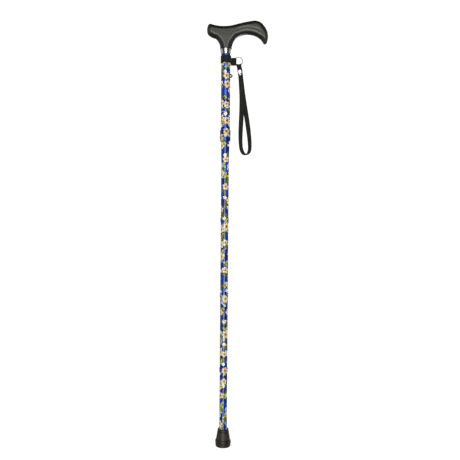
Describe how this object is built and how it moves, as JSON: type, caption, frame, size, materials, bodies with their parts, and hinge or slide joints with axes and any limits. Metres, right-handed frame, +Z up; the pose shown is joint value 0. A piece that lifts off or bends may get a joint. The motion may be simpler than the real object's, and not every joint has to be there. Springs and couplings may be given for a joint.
{
  "type": "single point cane",
  "caption": "Folding walking cane with a floral printed height-adjustable shaft, Derby handle, rubber tip and wrist strap.",
  "frame": {"origin": "centre of the rubber tip's sole, on the ground", "axes": "+Z up along the shaft, +X towards the long arm of the handle, +Y away from the front side"},
  "size_m": [0.1234, 0.0318, 0.8601],
  "materials": {
    "handle_plastic": "fine matte moulded",
    "black_nylon": "satin",
    "steel": "satin",
    "chrome": "polished",
    "printed_tube": "glossy floral print",
    "printed_collar": "glossy floral print",
    "elastic": "braided",
    "rubber": "matte moulded",
    "webbing": "woven elastic",
    "strap_webbing": "woven flat webbing",
    "ring_steel": "bright nickel plate",
    "crimp_steel": "bright nickel plate"
  },
  "bodies": {
    "handle_section": {"handle": "handle_plastic", "handle_spigot": "black_nylon", "handle_screw": "steel", "spigot_rivets": "steel", "chrome_collar": "chrome", "upper_tube": "printed_tube", "tube_bush": "black_nylon", "thread_ring": "black_nylon"},
    "collar": {"locking_collar": "printed_collar"},
    "adjusting_section": {"adjusting_tube": "printed_tube", "upper_glide": "black_nylon", "snap_spring": "steel", "top_anchor": "black_nylon", "elastic_cord": "elastic", "joint_plug_1": "black_nylon"},
    "button": {"snap_button": "chrome"},
    "section_1": {"section_tube_1": "printed_tube", "joint_sleeve_1": "printed_collar", "joint_plug_2": "black_nylon"},
    "section_2": {"section_tube_2": "printed_tube", "joint_sleeve_2": "printed_collar", "joint_plug_3": "black_nylon"},
    "section_3": {"section_tube_3": "printed_tube", "joint_sleeve_3": "printed_collar", "joint_plug_4": "black_nylon"},
    "section_4": {"section_tube_4": "printed_tube", "joint_sleeve_4": "printed_collar", "bottom_anchor": "black_nylon", "tip_washer": "steel", "rubber_tip": "rubber"},
    "band": {"strap_band": "webbing", "strap_tab": "webbing"},
    "ring": {"split_ring": "ring_steel"},
    "strap": {"strap_ring_loop": "webbing", "strap_crimp": "crimp_steel", "wrist_strap": "strap_webbing"}
  },
  "joints": [
    {"name": "collar_turn", "type": "hinge", "parent": "handle_section", "child": "collar", "pos_m": [0, 0, 0.6268], "axis": [0, 0, 1], "range_deg": [0, 360]},
    {"name": "height_adjust", "type": "slide", "parent": "handle_section", "child": "adjusting_section", "axis": [0, 0, -1], "range_m": [0, 0.1016], "deforming": ["snap_button"]},
    {"name": "button_press", "type": "slide", "parent": "adjusting_section", "child": "button", "axis": [-1, 0, 0], "range_m": [0, 0.0056], "stiffness_N_per_m": 900, "springref_m": -0.006, "deforming": ["snap_spring"]},
    {"name": "pull_1", "type": "slide", "parent": "adjusting_section", "child": "section_1", "axis": [0, 0, -1], "range_m": [0, 0.03], "stiffness_N_per_m": 300, "springref_m": -0.07, "deforming": ["elastic_cord"]},
    {"name": "pull_2", "type": "slide", "parent": "section_1", "child": "section_2", "axis": [0, 0, -1], "range_m": [0, 0.03], "stiffness_N_per_m": 300, "springref_m": -0.07},
    {"name": "pull_3", "type": "slide", "parent": "section_2", "child": "section_3", "axis": [0, 0, -1], "range_m": [0, 0.03], "stiffness_N_per_m": 300, "springref_m": -0.07},
    {"name": "pull_4", "type": "slide", "parent": "section_3", "child": "section_4", "axis": [0, 0, -1], "range_m": [0, 0.03], "stiffness_N_per_m": 300, "springref_m": -0.07},
    {"name": "band_turn", "type": "hinge", "parent": "handle_section", "child": "band", "pos_m": [0, 0, 0.781], "axis": [0, 0, 1], "continuous": true},
    {"name": "ring_swing", "type": "hinge", "parent": "band", "child": "ring", "pos_m": [0.0173, 0, 0.7778], "axis": [0, 0, 1], "range_deg": [-60, 60], "deforming": ["strap_tab"]},
    {"name": "strap_swing", "type": "hinge", "parent": "ring", "child": "strap", "pos_m": [0.027, 0, 0.76984], "axis": [0.9903, 0, 0.1392], "range_deg": [-80, 80], "deforming": ["strap_ring_loop"]}
  ]
}
